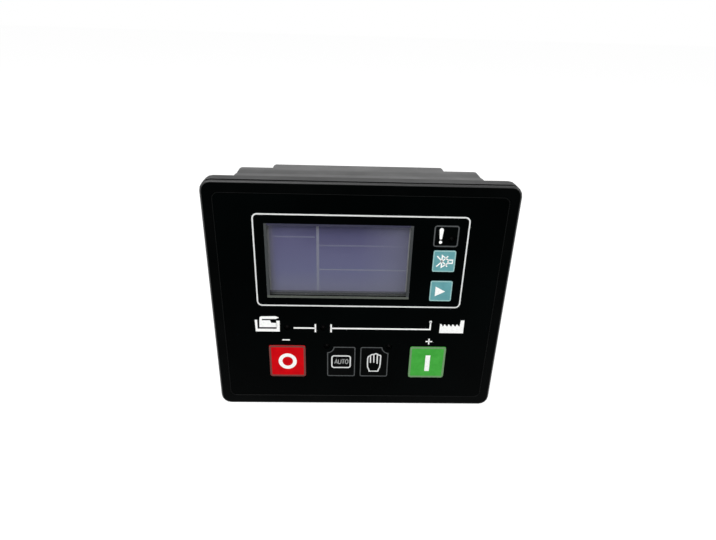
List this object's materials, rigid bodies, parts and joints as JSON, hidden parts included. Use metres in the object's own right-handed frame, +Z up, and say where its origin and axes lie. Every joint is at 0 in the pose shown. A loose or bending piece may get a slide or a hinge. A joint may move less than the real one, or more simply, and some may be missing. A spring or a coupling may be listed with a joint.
{
  "type": "genset controller",
  "caption": "Panel-mounted generator set controller with a display, sprung keys, lamps and pluggable rear terminals.",
  "frame": {"origin": "centre of the panel cut-out, on the panel plane, which the flange's rear face meets", "axes": "+X to the right seen from the front, +Y from the front to the rear of the panel, +Z up"},
  "size_m": [0.145, 0.0719, 0.12],
  "materials": {
    "case_plastic": "black moulded ABS, fine satin texture",
    "printed_film": "black screen-printed polycarbonate film with white and grey print",
    "clear_pane": "clear hard-coated pane",
    "display_cell": "unlit grey-violet liquid crystal cell",
    "cell_frame": "grey moulded cell frame",
    "light_guide": "white light guide",
    "red_key": "red moulded cap with white ring",
    "green_key": "green moulded cap with white bar",
    "black_key": "black moulded cap with grey outline and white symbol",
    "teal_key": "teal moulded cap with white symbol",
    "switch_plastic": "black moulded switch body",
    "lamp_resin": "smoked lamp resin, unlit",
    "board_laminate": "green solder mask on glass laminate",
    "zinc_steel": "zinc-plated steel",
    "terminal_plastic": "green moulded terminal block",
    "relay_plastic": "blue moulded relay case",
    "transformer_resin": "black potted winding",
    "capacitor_sleeve": "black shrink sleeve on an aluminium can",
    "chip_resin": "black moulded resin"
  },
  "bodies": {
    "case": {"alarm_lamp": "lamp_resin", "alarm_relay": "relay_plastic", "auto_lamp": "lamp_resin", "auto_switch": "switch_plastic", "backlight": "light_guide", "case_screw_1": "zinc_steel", "case_screw_2": "zinc_steel", "case_screw_3": "zinc_steel", "case_screw_4": "zinc_steel", "crank_relay": "relay_plastic", "display_board": "board_laminate", "display_board_screw_1": "zinc_steel", "display_board_screw_2": "zinc_steel", "display_board_screw_3": "zinc_steel", "display_board_screw_4": "zinc_steel", "display_window": "clear_pane", "filter_capacitor": "capacitor_sleeve", "first_current_transformer": "transformer_resin", "front_film": "printed_film", "front_frame": "case_plastic", "fuel_relay": "relay_plastic", "lcd_frame": "cell_frame", "lcd_glass": "display_cell", "link_header": "chip_resin", "link_socket": "chip_resin", "load_lamp": "lamp_resin", "load_relay": "relay_plastic", "lower_header": "terminal_plastic", "lower_plug": "terminal_plastic", "main_board": "board_laminate", "main_board_screw_1": "zinc_steel", "main_board_screw_2": "zinc_steel", "main_board_screw_3": "zinc_steel", "main_board_screw_4": "zinc_steel", "manual_lamp": "lamp_resin", "manual_switch": "switch_plastic", "microcontroller": "chip_resin", "mute_switch": "switch_plastic", "page_switch": "switch_plastic", "rear_housing": "case_plastic", "second_current_transformer": "transformer_resin", "start_switch": "switch_plastic", "stop_switch": "switch_plastic", "supply_lamp": "lamp_resin", "third_current_transformer": "transformer_resin", "upper_header": "terminal_plastic", "upper_plug": "terminal_plastic"},
    "stop_button": {"stop_key": "red_key", "stop_plunger": "switch_plastic"},
    "start_button": {"start_key": "green_key", "start_plunger": "switch_plastic"},
    "auto_button": {"auto_key": "black_key", "auto_plunger": "switch_plastic"},
    "manual_button": {"manual_key": "black_key", "manual_plunger": "switch_plastic"},
    "mute_button": {"mute_key": "teal_key", "mute_plunger": "switch_plastic"},
    "page_button": {"page_key": "teal_key", "page_plunger": "switch_plastic"}
  },
  "joints": [
    {"name": "stop_press", "type": "slide", "parent": "case", "child": "stop_button", "axis": [0, 1, 0], "range_m": [0, 0.0006], "stiffness_N_per_m": 2500},
    {"name": "start_press", "type": "slide", "parent": "case", "child": "start_button", "axis": [0, 1, 0], "range_m": [0, 0.0006], "stiffness_N_per_m": 2500},
    {"name": "auto_press", "type": "slide", "parent": "case", "child": "auto_button", "axis": [0, 1, 0], "range_m": [0, 0.0006], "stiffness_N_per_m": 2500},
    {"name": "manual_press", "type": "slide", "parent": "case", "child": "manual_button", "axis": [0, 1, 0], "range_m": [0, 0.0006], "stiffness_N_per_m": 2500},
    {"name": "mute_press", "type": "slide", "parent": "case", "child": "mute_button", "axis": [0, 1, 0], "range_m": [0, 0.0006], "stiffness_N_per_m": 2500},
    {"name": "page_press", "type": "slide", "parent": "case", "child": "page_button", "axis": [0, 1, 0], "range_m": [0, 0.0006], "stiffness_N_per_m": 2500}
  ]
}
